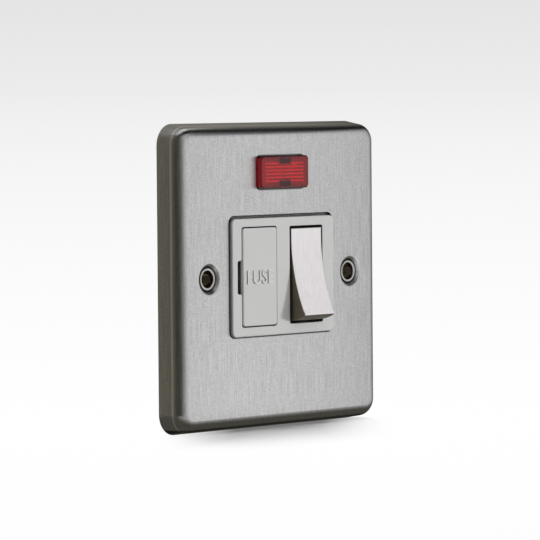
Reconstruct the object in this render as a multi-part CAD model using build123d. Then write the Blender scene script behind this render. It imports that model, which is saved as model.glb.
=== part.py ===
from build123d import *
import math
import os

# Switched fused connection unit for a single-gang wall box, with a neon indicator.
# Frame: X to the right, Y into the wall, Z up. The origin is the centre of the plate's rear rim,
# so the wall is the plane Y = 0 and the front of the unit looks along -Y. Sizes in millimetres.

# Front plate, pressed from one sheet
plate_size = 86.0
plate_depth = 7.7
plate_sheet = 1.0
plate_draft = 10.0
plate_corner = 6.0
plate_edge = 3.2

# Dished fixing seats and the eyelets that clamp plate and moulding together
fixing_centres = 60.3
fixing_bore = 4.6
dish_d = 8.8
dish_floor_d = 6.7
dish_depth = 1.2
dish_edge = 0.6
eyelet_wall = 0.45
eyelet_ring_d = 6.5
eyelet_ring_t = 0.5
eyelet_tail_d = 7.2
eyelet_tail_t = 0.45
eyelet_clear = 0.1

# Front moulding: the insert that stands through the plate, and the flange behind the plate
insert_w = 43.5
insert_h = 33.0
insert_drop = 0.15
insert_proud = 1.0
insert_corner = 1.6
insert_edge = 0.45
window_gap_side = 0.45
window_gap_top = 0.9
window_gap_bottom = 0.25
opening_edge = 0.2
flange_inset = 6.0
flange_t = 2.3
flange_corner = 4.0
flange_rib_t = 1.4
flange_rib_h = 3.6
flange_rib_z = 17.0
seat_clear = 0.3
dish_clear = 0.15

# Fuse carrier and its well
carrier_w = 14.2
carrier_x = -10.4
carrier_gap = 0.3
carrier_proud = 0.3
carrier_face_t = 2.2
carrier_corner = 0.8
carrier_edge = 0.3
carrier_travel = 17.0
finger_slot_w = 2.0
finger_slot_h = 9.3
finger_slot_depth = 3.7
finger_slot_corner = 0.6
collar_wall = 1.2
collar_len = 2.4
rail_w = 6.0
rail_t = 0.85
hook_reach = 1.0
hook_len = 1.2
hook_land = 0.6
hook_clear = 0.5
hook_side_gap = 0.7

# Cartridge fuse and its clips
fuse_d = 6.35
fuse_len = 25.4
fuse_depth = 10.5
fuse_cap_len = 6.2
fuse_cap_wall = 0.4
fuse_cap_edge = 0.2
fuse_clear = 0.08
fuse_end_gap = 0.15
saddle_len = 9.0
saddle_wall = 1.2
saddle_wrap = 1.3
clip_len = 5.0
clip_sheet = 0.6
clip_flare = 0.9
clip_bend = 1.6
strip_t = 0.8
strip_w = 2.6

# Rocker: a metal cap on a moulded cradle
rocker_w = 13.1
rocker_x = 9.7
rocker_chord = 24.8
rocker_stand = 4.64
rocker_sag = 1.5
rocker_skirt = 2.1
rocker_throw = 22.5
rocker_pivot_depth = 1.9
rocker_side_gap = 0.52
rocker_end_gap = 0.5
rocker_edge = 0.4
cap_sheet = 0.8
cradle_clear = 0.1
pin_d = 2.0
pin_clear = 0.06
bearing_depth = 1.8

# Plungers and springs of the two poles
pole_pitch = 7.2
plunger_d = 2.7
plunger_reach = 12.0
plunger_len = 7.4
plunger_clear = 0.07
plunger_gap = 0.12
tube_wall = 0.7
tube_len = 8.6
spring_wire = 0.4
spring_turns = 4.0

# See-saw contacts
contact_ratio = 0.9
contact_w = 3.6
contact_sheet = 0.9
contact_pivot_drop = 1.2
contact_arm = 9.9
contact_tail = 6.5
knuckle_d = 2.2
stub_d = 1.2
stub_clear = 0.06
ear_t = 0.7
ear_gap = 0.15
ear_tip = 1.3
bracket_h = 2.2
bracket_len = 5.0
tip_d = 2.8
tip_t = 0.9
tip_dome = 0.4
tip_z = 8.6
tip_gap = 0.12

# Rear housing
housing_w = 47.0
housing_h = 60.0
housing_wall = 1.6
housing_corner = 2.0
housing_edge = 1.0
housing_panel_inset = 3.4
housing_panel_depth = 0.6
shelf_t = 5.0
barrier_t = 1.6
pole_rib_t = 0.8
slot_clear = 0.15

# Pillar terminals and their screws
terminal_pitch = 12.0
terminal_w = 8.0
terminal_len = 10.0
terminal_h = 10.4
terminal_bore = 4.4
terminal_bore_h = 3.8
terminal_edge = 0.5
terminal_clear = 0.15
nest_wall = 1.3
nest_h = 6.5
nest_len = 6.6
clamp_d = 3.5
clamp_clear = 0.05
clamp_tip_gap = 0.3
clamp_head_d = 5.2
clamp_head_t = 1.8
clamp_head_gap = 0.7
drive_slot_w = 0.9
drive_slot_depth = 0.9

# Screws that hold the housing to the moulding
post_side = 2.6
post_end = 3.4
post_d = 5.0
post_len = 3.6
post_clear = 0.15
screw_d = 2.2
screw_head_d = 4.4
screw_head_t = 1.4
screw_head_edge = 0.45
screw_slot_depth = 0.45
screw_len = 7.0
screw_clear = 0.3

# Earth strap on the back of the flange
strap_gap = 0.5
strap_w = 2.4
strap_arm_z = 21.2
strap_ring_d = 8.4
strap_tab = 0.9

# Neon indicator
lens_w = 20.2
lens_h = 9.2
lens_drop = 13.95
lens_proud = 1.9
lens_corner = 1.1
lens_edge = 0.5
lens_wall = 1.0
lens_shoulder = 1.2
lens_shoulder_t = 1.0
lens_gap = 0.2
lens_rib_pitch = 1.0
lens_rib_count = 6
lens_rib_d = 0.7
holder_depth = 4.7
holder_wall = 1.0
holder_clear = 0.15
fork_pitch = 6.0
fork_t = 1.0
fork_wrap = 0.5
catch_w = 4.9
catch_upper_h = 1.5
catch_lower_h = 1.9
catch_root = 1.0
lamp_d = 3.8
lamp_len = 12.0
lamp_rise = 2.4
lamp_end_r = 1.3
resistor_d = 2.0
resistor_len = 6.0
resistor_drop = 3.4
resistor_end_r = 0.5
resistor_x = -3.0
lead_d = 0.7
lead_bend = 1.0
lead_out = 2.6
live_lead_inset = 1.5
neutral_lead_inset = 1.3

# Levels along Y, from the front of the unit to the back
face_y = -plate_depth
plate_back_y = face_y + plate_sheet
insert_y = face_y - insert_proud
flange_back_y = plate_back_y + flange_t
collar_back_y = flange_back_y + collar_len
carrier_y = insert_y - carrier_proud
pivot_y = insert_y + rocker_pivot_depth
fuse_y = insert_y + fuse_depth
hook_y = collar_back_y + carrier_travel
chamber_back_y = hook_y + hook_len + hook_clear
housing_back_y = chamber_back_y + housing_wall
floor_y = flange_back_y + shelf_t
contact_face_y = pivot_y + plunger_reach + plunger_gap
seesaw_y = contact_face_y + contact_pivot_drop
bus_y = seesaw_y + bracket_h
lens_back_y = plate_back_y + lens_shoulder_t
holder_back_y = lens_back_y + holder_depth
lamp_y = holder_back_y - lamp_rise

# Other worked-out sizes
plate_skin = plate_sheet / math.cos(math.radians(plate_draft))
insert_z = -insert_drop
flange_size = plate_size - 2 * flange_inset
lens_z = plate_size / 2 - lens_drop
eyelet_d = fixing_bore + 2 * eyelet_wall
carrier_left = carrier_x - carrier_w / 2
carrier_h = fuse_len + 2 * (fuse_end_gap + rail_t)
well_w = carrier_w + 2 * carrier_gap
well_h = carrier_h + 2 * carrier_gap
rocker_rest = rocker_throw / 2
rocker_r = math.hypot(rocker_chord / 2, rocker_stand)
rocker_well_w = rocker_w + 2 * rocker_side_gap
rocker_well_h = 2 * (rocker_r + rocker_end_gap)
pin_span = rocker_well_w + 2 * bearing_depth
contact_rest = rocker_rest * contact_ratio
chamber_inner_x = housing_w / 2 - housing_wall
chamber_inner_z = carrier_h / 2 + hook_reach + hook_side_gap
chamber_half_h = chamber_inner_z + housing_wall
barrier_x = (carrier_x + carrier_w / 2 + rocker_x - rocker_w / 2) / 2
strap_x = -(housing_w / 2 + strap_gap + strap_w / 2)
post_x = housing_w / 2 - post_side
post_z = housing_h / 2 - post_end
terminal_z = chamber_half_h + terminal_clear + terminal_len / 2
bore_y = floor_y + terminal_bore_h
bracket_half = contact_w / 2 + ear_gap + ear_t
pole_x = {"live": rocker_x - pole_pitch / 2, "neutral": rocker_x + pole_pitch / 2}
row_x = {"earth": -terminal_pitch, "live": 0.0, "neutral": terminal_pitch}
row_side = {"load": 1, "supply": -1}
tip_turn = math.radians(-contact_rest)
tip_back = contact_sheet - contact_pivot_drop + tip_t
tip_on_y = seesaw_y + tip_back * math.cos(tip_turn) - tip_z * math.sin(tip_turn)
tip_on_z = tip_back * math.sin(tip_turn) + tip_z * math.cos(tip_turn)
fixed_y = tip_on_y + tip_gap + tip_t
post_places = [(x, z) for x in (-post_x, post_x) for z in (-post_z, post_z)]


def at_y(y):
    # Sketch plane at a level Y: sketch x is X, sketch y is Z
    return Plane.XZ.offset(-y)


def slab(sketch, front, back):
    # A flat piece between two levels along Y
    return extrude(at_y(back) * sketch, amount=back - front)


def block(x0, x1, y0, y1, z0, z1):
    # A flat piece with a plain rectangular outline, from its six limits
    outline = Pos((x0 + x1) / 2, (z0 + z1) / 2) * Rectangle(x1 - x0, z1 - z0)
    return slab(outline, y0, y1)


def side_extrude(profile, x0, x1):
    # A profile drawn in Y and Z, run along X
    return extrude(Plane.YZ.offset(x0) * profile, amount=x1 - x0)


def turned(points, x=0.0, z=0.0):
    # A turned piece about a line along Y, from (radius, Y) points
    profile = make_face(Polyline(*points, close=True))
    return Pos(x, 0, z) * revolve(profile, Axis.Y)


def rod_y(d, y0, y1, x=0.0, z=0.0):
    return turned([(0, y0), (d / 2, y0), (d / 2, y1), (0, y1)], x, z)


def rod_x(d, x0, x1, y, z):
    return extrude(Plane.YZ.offset(x0) * Pos(y, z) * Circle(d / 2), amount=x1 - x0)


def rod_z(d, z0, z1, x, y):
    return extrude(Plane.XY.offset(z0) * Pos(x, y) * Circle(d / 2), amount=z1 - z0)


def front_face(body):
    return body.faces().sort_by(Axis.Y)[0]


def front_rim(body, edge):
    # Round the outline of the foremost face
    return fillet(front_face(body).outer_wire().edges(), edge)


def rocker_place(body):
    return Pos(rocker_x, pivot_y, 0) * Rot(-rocker_rest, 0, 0) * body


# Front plate

def plate_tray(inset, depth, edge):
    rim = plate_size - 2 * inset
    outline = RectangleRounded(rim, rim, plate_corner - inset)
    body = extrude(at_y(0) * outline, amount=depth, taper=plate_draft)
    return front_rim(body, edge)


def plate_window():
    width = insert_w + 2 * window_gap_side
    height = insert_h + window_gap_top + window_gap_bottom
    middle = insert_z + (window_gap_top - window_gap_bottom) / 2
    return Pos(0, middle) * RectangleRounded(width, height, insert_corner + window_gap_side)


def lens_outline(grow):
    return Pos(0, lens_z) * RectangleRounded(lens_w + 2 * grow, lens_h + 2 * grow, lens_corner + grow)


def dish_bulge(grow, x):
    # The back of a dished seat, with an allowance all round
    mouth = dish_d / 2 + plate_sheet + grow
    floor = dish_floor_d / 2 + plate_sheet + grow
    back = plate_back_y + dish_depth + grow
    return turned([(0, plate_back_y), (mouth, plate_back_y), (floor, back), (0, back)], x)


def front_plate():
    body = plate_tray(0, plate_depth, plate_edge)
    body -= plate_tray(plate_skin, plate_depth - plate_sheet, plate_edge - plate_sheet)
    for x in (-fixing_centres / 2, fixing_centres / 2):
        dish_floor_y = face_y + dish_depth
        body += dish_bulge(0, x)
        body -= turned([(0, face_y), (dish_d / 2, face_y), (dish_floor_d / 2, dish_floor_y),
                        (0, dish_floor_y)], x)
        body -= rod_y(eyelet_d + 2 * eyelet_clear, face_y, flange_back_y, x)
    lips = [e for e in body.edges().filter_by(GeomType.CIRCLE)
            if abs(e.radius - dish_d / 2) < 0.01 and abs(e.center().Y - face_y) < 0.01]
    body = fillet(lips, dish_edge)
    body -= slab(plate_window(), face_y, plate_back_y)
    body -= slab(lens_outline(lens_gap), face_y, plate_back_y)
    return body


def eyelet(x, grip_back):
    # Hollow rivet: a round-topped ring in the dish, a barrel, and a tail turned over what it clamps
    ring_back = face_y + dish_depth
    ring_front = ring_back - eyelet_ring_t
    tail_back = grip_back + eyelet_tail_t
    bore = fixing_bore / 2
    barrel = eyelet_d / 2
    ring = eyelet_ring_d / 2
    tail = eyelet_tail_d / 2
    lines = [ThreePointArc((bore, ring_back), ((bore + ring) / 2, ring_front), (ring, ring_back)),
             Polyline((ring, ring_back), (barrel, ring_back), (barrel, grip_back), (tail, grip_back),
                      (tail, tail_back), (bore, tail_back), (bore, ring_back))]
    return Pos(x, 0, 0) * revolve(make_face(lines), Axis.Y)


# Front moulding

def well_outline(grow):
    outline = RectangleRounded(well_w + 2 * grow, well_h + 2 * grow, carrier_corner + grow)
    return Pos(carrier_x, 0) * outline


def finger_opening():
    # The fuse well's mouth joined to the finger slot beside it, with the slot's corners rounded
    slot_left = carrier_left - finger_slot_w
    slot = Pos((slot_left + carrier_left) / 2, 0) * Rectangle(finger_slot_w, finger_slot_h)
    mouth = well_outline(0) + slot
    corners = [v for v in mouth.vertices() if abs(abs(v.Y) - finger_slot_h / 2) < 0.01]
    return fillet(corners, finger_slot_corner)


def flange_ribs():
    rim = RectangleRounded(flange_size, flange_size, flange_corner)
    inside = flange_size - 2 * flange_rib_t
    rim -= RectangleRounded(inside, inside, flange_corner - flange_rib_t)
    body = slab(rim, flange_back_y, flange_back_y + flange_rib_h)
    outer = (flange_size - flange_rib_t) / 2
    inner = -strap_x + strap_w / 2 + seat_clear
    for side in (-1, 1):
        ends = sorted((side * inner, side * outer))
        for z in (-flange_rib_z, flange_rib_z):
            body += block(ends[0], ends[1], flange_back_y, flange_back_y + flange_rib_h,
                          z - flange_rib_t / 2, z + flange_rib_t / 2)
    return body


def front_moulding():
    insert = Pos(0, insert_z) * RectangleRounded(insert_w, insert_h, insert_corner)
    body = front_rim(slab(insert, insert_y, flange_back_y), insert_edge)
    body += slab(RectangleRounded(flange_size, flange_size, flange_corner), plate_back_y, flange_back_y)
    body += flange_ribs()
    body += slab(well_outline(collar_wall), flange_back_y, collar_back_y)
    for x, z in post_places:
        body += rod_y(post_d, flange_back_y, flange_back_y + post_len, x, z)
        body -= rod_y(screw_d, floor_y - screw_len, floor_y, x, z)
    body -= slab(well_outline(0), insert_y, collar_back_y)
    body -= slab(finger_opening(), insert_y, insert_y + finger_slot_depth)
    rocker_well = Pos(rocker_x, 0) * RectangleRounded(rocker_well_w, rocker_well_h, rocker_edge)
    body -= slab(rocker_well, insert_y, flange_back_y)
    body -= rod_x(pin_d + 2 * pin_clear, rocker_x - pin_span / 2, rocker_x + pin_span / 2, pivot_y, 0)
    body -= slab(lens_outline(lens_shoulder + holder_clear), plate_back_y, flange_back_y)
    for x in (-fixing_centres / 2, fixing_centres / 2):
        body -= dish_bulge(dish_clear, x)
        body -= rod_y(eyelet_d + 2 * eyelet_clear, plate_back_y, flange_back_y, x)
        # Room in the rim rib for the eyelet's tail and the strap's ring
        body -= rod_y(strap_ring_d + 2 * seat_clear, flange_back_y, flange_back_y + flange_rib_h, x)
    # Soften the rims of the openings in the front
    mouths = [e for wire in front_face(body).inner_wires() for e in wire.edges()]
    return fillet(mouths, opening_edge)


# Fuse carrier and fuse

def fuse_carrier():
    face_back = carrier_y + carrier_face_t
    outline = Pos(carrier_x, 0) * RectangleRounded(carrier_w, carrier_h, carrier_corner)
    body = front_rim(slab(outline, carrier_y, face_back), carrier_edge)
    # Saddle that grips the middle of the fuse
    grip_r = fuse_d / 2 - fuse_cap_wall + fuse_clear
    cheek = grip_r + saddle_wall
    saddle = Rectangle(2 * cheek, fuse_y + saddle_wrap - face_back)
    saddle = Pos(carrier_x, (fuse_y + saddle_wrap + face_back) / 2) * saddle
    saddle -= Pos(carrier_x, fuse_y) * Circle(grip_r)
    body += Pos(0, 0, -saddle_len / 2) * extrude(saddle, amount=saddle_len)
    # Rails above and below the fuse, each ending in a hook that the collar catches
    outer = carrier_h / 2
    tip = outer + hook_reach
    hook_end = hook_y + hook_len
    profile = make_face(Polyline((face_back, outer - rail_t), (hook_end, outer - rail_t), (hook_end, outer),
                                 (hook_y + hook_land, tip), (hook_y, tip), (hook_y, outer),
                                 (face_back, outer), close=True))
    rail = side_extrude(profile, carrier_x - rail_w / 2, carrier_x + rail_w / 2)
    return body + rail + mirror(rail, Plane.XY)


def fuse_tube():
    tube_r = fuse_d / 2 - fuse_cap_wall
    tube_half = fuse_len / 2 - fuse_cap_wall
    return rod_z(2 * tube_r, -tube_half, tube_half, carrier_x, fuse_y)


def fuse_cap(side):
    inner_end = fuse_len / 2 - fuse_cap_len
    body = rod_z(fuse_d, inner_end, fuse_len / 2, carrier_x, fuse_y)
    body = chamfer(body.faces().sort_by(Axis.Z)[-1].edges(), fuse_cap_edge)
    body -= rod_z(fuse_d - 2 * fuse_cap_wall, inner_end, fuse_len / 2 - fuse_cap_wall, carrier_x, fuse_y)
    return body if side > 0 else mirror(body, Plane.XY)


def clip_leaves(z0):
    # Two spring leaves that grip an end cap, with flared mouths, and the base between them
    grip = fuse_d / 2 + fuse_clear
    mouth_y = fuse_y - fuse_d / 2
    bend_y = fuse_y - clip_bend
    leaf = make_face(Polyline((grip, bus_y), (grip, bend_y), (grip + clip_flare, mouth_y),
                              (grip + clip_flare + clip_sheet, mouth_y), (grip + clip_sheet, bend_y),
                              (grip + clip_sheet, bus_y), close=True))
    outline = leaf + mirror(leaf, Plane.YZ)
    outline += Pos(0, bus_y + strip_t / 2) * Rectangle(2 * (grip + clip_sheet), strip_t)
    return Pos(carrier_x, 0, z0) * extrude(outline, amount=clip_len)


def clip_middle():
    return fuse_len / 2 - fuse_cap_len / 2


def fuse_clip_supply():
    # Lower clip, with a tail that runs down to the supply live terminal
    low = -clip_middle() - clip_len / 2
    tail_right = barrier_x - barrier_t / 2 - seat_clear
    terminal_face = -chamber_half_h - terminal_clear
    body = clip_leaves(low)
    body += block(carrier_x, tail_right, bus_y, bus_y + strip_t, low, low + strip_w)
    body += block(tail_right - strip_w, tail_right, bus_y, bus_y + strip_t, terminal_face, low + strip_w)
    return body


def fuse_clip_load():
    # Upper clip, with a strip that runs across to the live pole's bracket
    low = clip_middle() - clip_len / 2
    bracket_left = pole_x["live"] - bracket_half
    body = clip_leaves(low)
    half = strip_w / 2
    body += block(carrier_x - half, carrier_x + half, bus_y, bus_y + strip_t, -half, low)
    body += block(carrier_x - half, bracket_left, bus_y, bus_y + strip_t, -half, half)
    return body


# Rocker, drawn about its pivot with the throw at its middle, then tipped to rest

def rocker_profile(inset, skirt):
    # Concave front between two ends that are arcs about the pivot
    end_r = rocker_r - inset
    front = -(rocker_stand - inset)
    corner = math.sqrt(end_r ** 2 - front ** 2)
    foot = math.sqrt(end_r ** 2 - skirt ** 2)
    dip = front + rocker_sag
    lines = [ThreePointArc((front, -corner), (dip, 0), (front, corner)),
             ThreePointArc((front, corner), (0, end_r), (skirt, foot)),
             Line((skirt, foot), (skirt, -foot)),
             ThreePointArc((skirt, -foot), (0, -end_r), (front, -corner))]
    return make_face(lines)


def rocker_cap():
    body = side_extrude(rocker_profile(0, rocker_skirt), -rocker_w / 2, rocker_w / 2)
    front_edges = [e for e in body.edges() if e.center().Y < -rocker_stand + rocker_sag + 0.01]
    body = fillet(front_edges, rocker_edge)
    hollow = rocker_w / 2 - cap_sheet
    body -= side_extrude(rocker_profile(cap_sheet, rocker_skirt), -hollow, hollow)
    body -= rod_x(pin_d + 2 * pin_clear, -rocker_w, rocker_w, 0, 0)
    return rocker_place(body)


def rocker_cradle():
    inset = cap_sheet + cradle_clear
    half = rocker_w / 2 - inset
    body = side_extrude(rocker_profile(inset, rocker_skirt), -half, half)
    body += rod_x(pin_d, -pin_span / 2 + seat_clear, pin_span / 2 - seat_clear, 0, 0)
    bore_d = plunger_d + 2 * plunger_clear
    tube_d = bore_d + 2 * tube_wall
    # Cored out behind, leaving a web at the pivot and a rim round the ends
    core_low = tube_d / 2 + tube_wall
    core_high = rocker_r - inset - 2 * tube_wall
    core_front = -(rocker_stand - rocker_sag - inset - tube_wall)
    for z0, z1 in ((core_low, core_high), (-core_high, -core_low)):
        body -= block(-half + tube_wall, half - tube_wall, core_front, rocker_skirt, z0, z1)
    for x in (-pole_pitch / 2, pole_pitch / 2):
        body += rod_y(tube_d, 0, tube_len, x)
        body -= rod_y(bore_d, core_front + tube_wall, tube_len, x)
    return rocker_place(body)


def plunger(pole):
    # Round-nosed pin that slides in the cradle's tube
    x = pole_x[pole] - rocker_x
    nose = plunger_d / 2
    shank_end = plunger_reach - nose
    body = rod_y(plunger_d, plunger_reach - plunger_len, shank_end, x)
    body += Pos(x, shank_end, 0) * Sphere(nose)
    return rocker_place(body)


def spring(pole):
    # Coil spring between the bottom of the bore and the plunger
    x = pole_x[pole] - rocker_x
    seat = -(rocker_stand - rocker_sag - cap_sheet - cradle_clear - 2 * tube_wall)
    start = seat + spring_wire / 2
    length = plunger_reach - plunger_len - spring_wire / 2 - start
    coil_r = plunger_d / 2 - spring_wire / 2
    path = Helix(pitch=length / spring_turns, height=length, radius=coil_r)
    section = Plane(path @ 0, z_dir=path % 0) * Circle(spring_wire / 2)
    coil = sweep(section, path=path, is_frenet=True)
    return rocker_place(Pos(x, start, 0) * Rot(-90, 0, 0) * coil)


# See-saw contacts, drawn about their pivot, then tipped to rest

def contact_place(body, pole):
    return Pos(pole_x[pole], seesaw_y, 0) * Rot(contact_rest, 0, 0) * body


def moving_contact(pole):
    half = contact_w / 2
    front = -contact_pivot_drop
    body = block(-half, half, front, front + contact_sheet, -contact_tail, contact_arm)
    body += rod_x(knuckle_d, -half, half, 0, 0)
    stub = half + ear_gap + ear_t
    body += rod_x(stub_d, -stub, stub, 0, 0)
    return contact_place(body, pole)


def tip(y, outward):
    # Silver rivet head with a domed face, standing along Y from its seat
    rim = tip_t - tip_dome
    r = tip_d / 2
    dome_r = (r ** 2 + tip_dome ** 2) / (2 * tip_dome)
    turn = math.asin(r / dome_r) / 2
    crown = tip_t - dome_r * (1 - math.cos(turn))
    lines = [Polyline((0, tip_t), (0, 0), (r, 0), (r, rim)),
             ThreePointArc((r, rim), (dome_r * math.sin(turn), crown), (0, tip_t))]
    head = revolve(make_face(lines), Axis.Y)
    if outward < 0:
        head = mirror(head, Plane.XZ)
    return Pos(0, y, 0) * head


def moving_tip(pole):
    seat = contact_sheet - contact_pivot_drop
    return contact_place(Pos(0, 0, tip_z) * tip(seat, 1), pole)


def fixed_tip(pole):
    return Pos(pole_x[pole], 0, tip_on_z) * tip(fixed_y, -1)


def contact_bracket(pole):
    # Base on the housing, and two ears that carry the contact's stubs
    x = pole_x[pole]
    half = bracket_len / 2
    body = block(x - bracket_half, x + bracket_half, bus_y, bus_y + strip_t, -half, half)
    ear = make_face(Polyline((bus_y, -half), (bus_y, half), (seesaw_y, ear_tip), (seesaw_y, -ear_tip),
                             close=True))
    ear += Pos(seesaw_y, 0) * Circle(ear_tip)
    ear -= Pos(seesaw_y, 0) * Circle(stub_d / 2 + stub_clear)
    for x0 in (x - bracket_half, x + bracket_half - ear_t):
        body += side_extrude(ear, x0, x0 + ear_t)
    if pole == "neutral":
        terminal_face = -chamber_half_h - terminal_clear
        body += block(x - strip_w / 2, x + strip_w / 2, bus_y, bus_y + strip_t, terminal_face, -half)
    return body


def fixed_contact(pole):
    # Strip from the tip's seat up to the load terminal, stepped across to a terminal at one side
    x = pole_x[pole]
    low = tip_on_z - tip_d / 2 - seat_clear
    high = tip_on_z + tip_d / 2 + seat_clear
    half = tip_d / 2 + seat_clear
    terminal_face = chamber_half_h + terminal_clear
    reach = row_x[pole] + terminal_w / 2 - strip_w
    left = min(x - half, reach)
    right = max(x + half, left + strip_w)
    body = block(left, right, fixed_y, fixed_y + strip_t, low, high)
    tail = left if pole == "live" else x - strip_w / 2
    body += block(tail, tail + strip_w, fixed_y, fixed_y + strip_t, low, terminal_face)
    return body


# Rear housing

def terminal_places():
    return [(row, pole, row_x[pole], row_side[row]) for row in row_side for pole in row_x]


def strip_pass(x0, x1, y, side):
    # Slot through the chamber's end wall for a strip
    z0, z1 = sorted((side * (chamber_inner_z - slot_clear), side * (chamber_half_h + slot_clear)))
    return block(x0 - slot_clear, x1 + slot_clear, y - slot_clear, y + strip_t + slot_clear, z0, z1)


def pedestal(x0, x1, y, z0, z1):
    return block(x0, x1, y, chamber_back_y, z0, z1)


def strap_grooves(body):
    # Grooves in the front of the shelves for the strap's arms, and slots for its tabs
    arm_end = row_x["earth"]
    edge = -housing_w / 2
    groove_back = flange_back_y + strip_t + slot_clear
    right = arm_end + slot_clear
    for side in (-1, 1):
        z = side * strap_arm_z
        low = z - strap_w / 2 - slot_clear
        high = z + strap_w / 2 + slot_clear
        body -= block(edge, right, flange_back_y, groove_back, low, high)
        body -= block(arm_end - strap_tab - slot_clear, right, flange_back_y, floor_y, low, high)
    return body


def rear_housing():
    chamber = RectangleRounded(housing_w, 2 * chamber_half_h, housing_corner)
    shelf = RectangleRounded(housing_w, housing_h, housing_corner)
    body = slab(chamber, flange_back_y, housing_back_y)
    body = fillet(body.faces().sort_by(Axis.Y)[-1].edges(), housing_edge)
    # Sunk panel in the back
    panel_w = housing_w - 2 * housing_panel_inset
    panel_h = 2 * (chamber_half_h - housing_panel_inset)
    panel = RectangleRounded(panel_w, panel_h, housing_corner)
    body -= slab(panel, housing_back_y - housing_panel_depth, housing_back_y)
    body += slab(shelf, flange_back_y, floor_y)
    left_inner = barrier_x - barrier_t / 2
    right_inner = barrier_x + barrier_t / 2
    for x0, x1 in ((-chamber_inner_x, left_inner), (right_inner, chamber_inner_x)):
        body -= block(x0, x1, flange_back_y, chamber_back_y, -chamber_inner_z, chamber_inner_z)
    # Insulating rib between the two poles, and the seats of clips, brackets and fixed contacts
    rib_left = rocker_x - pole_rib_t / 2
    body += block(rib_left, rib_left + pole_rib_t, contact_face_y + ear_tip, chamber_back_y,
                  -chamber_inner_z, chamber_inner_z)
    strip_back = bus_y + strip_t
    middle = clip_middle()
    half = clip_len / 2
    for z in (-middle, middle):
        body += pedestal(carrier_x - strip_w, carrier_x + strip_w, strip_back, z - half, z + half)
    for pole in pole_x:
        x = pole_x[pole]
        body += pedestal(x - strip_w / 2, x + strip_w / 2, strip_back, -bracket_len / 2, bracket_len / 2)
        seat = tip_d / 2
        body += pedestal(x - seat, x + seat, fixed_y + strip_t, tip_on_z - seat, chamber_inner_z)
    # Slots for the strips
    tail_right = left_inner - seat_clear
    body -= strip_pass(tail_right - strip_w, tail_right, bus_y, -1)
    neutral = pole_x["neutral"]
    body -= strip_pass(neutral - strip_w / 2, neutral + strip_w / 2, bus_y, -1)
    body -= strip_pass(neutral - strip_w / 2, neutral + strip_w / 2, fixed_y, 1)
    live_tail = min(pole_x["live"] - tip_d / 2 - seat_clear, row_x["live"] + terminal_w / 2 - strip_w)
    body -= strip_pass(live_tail, live_tail + strip_w, fixed_y, 1)
    body -= block(left_inner, right_inner, bus_y - slot_clear, strip_back + slot_clear,
                  -strip_w / 2 - slot_clear, strip_w / 2 + slot_clear)
    # Cheeks that hold each terminal on its shelf
    cheek = terminal_w / 2 + terminal_clear
    for row, pole, x, side in terminal_places():
        z0, z1 = sorted((side * (chamber_half_h - terminal_clear), side * (chamber_half_h + nest_len)))
        for x0 in (x - cheek - nest_wall, x + cheek):
            body += block(x0, x0 + nest_wall, floor_y - terminal_clear, floor_y + nest_h, z0, z1)
    for x, z in post_places:
        body -= rod_y(post_d + 2 * post_clear, flange_back_y, flange_back_y + post_len + post_clear, x, z)
        body -= rod_y(screw_d + 2 * screw_clear, flange_back_y, floor_y, x, z)
    body = strap_grooves(body)
    # Pocket for the lamp holder, with two holes for its leads
    pocket = lens_outline(lens_shoulder + 2 * holder_clear)
    body -= slab(pocket, flange_back_y, holder_back_y + holder_clear)
    for x, z in lead_places():
        body -= rod_y(lead_d + 2 * slot_clear, flange_back_y, floor_y, x, z)
    return body


def housing_screws():
    bodies = []
    for x, z in post_places:
        head_back = floor_y + screw_head_t
        tip_y = floor_y - screw_len
        shank = screw_d / 2
        head = screw_head_d / 2
        screw = turned([(0, tip_y), (shank, tip_y), (shank, floor_y), (head, floor_y), (head, head_back),
                        (0, head_back)], x, z)
        screw = fillet(screw.edges().filter_by(GeomType.CIRCLE).sort_by(Axis.Y)[-1], screw_head_edge)
        slot = drive_slot_w / 2
        screw -= block(x - head, x + head, head_back - screw_slot_depth, head_back, z - slot, z + slot)
        bodies.append(screw)
    return Compound(children=bodies)


# Terminals

def terminal(row, pole):
    x = row_x[pole]
    z = row_side[row] * terminal_z
    half = terminal_len / 2
    body = block(x - terminal_w / 2, x + terminal_w / 2, floor_y, floor_y + terminal_h, z - half, z + half)
    body = chamfer(body.edges().filter_by(Axis.Y), terminal_edge)
    body -= rod_z(terminal_bore, z - half, z + half, x, bore_y)
    body -= rod_y(clamp_d + 2 * clamp_clear, bore_y, floor_y + terminal_h, x, z)
    return body


def terminal_screws():
    bodies = []
    for row, pole, x, side in terminal_places():
        z = side * terminal_z
        tip_y = bore_y + terminal_bore / 2 + clamp_tip_gap
        head_front = floor_y + terminal_h + clamp_head_gap
        head_back = head_front + clamp_head_t
        shank = clamp_d / 2
        head = clamp_head_d / 2
        screw = turned([(0, tip_y), (shank, tip_y), (shank, head_front), (head, head_front),
                        (head, head_back), (0, head_back)], x, z)
        slot = drive_slot_w / 2
        screw -= block(x - head, x + head, head_back - drive_slot_depth, head_back, z - slot, z + slot)
        bodies.append(screw)
    return Compound(children=bodies)


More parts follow.
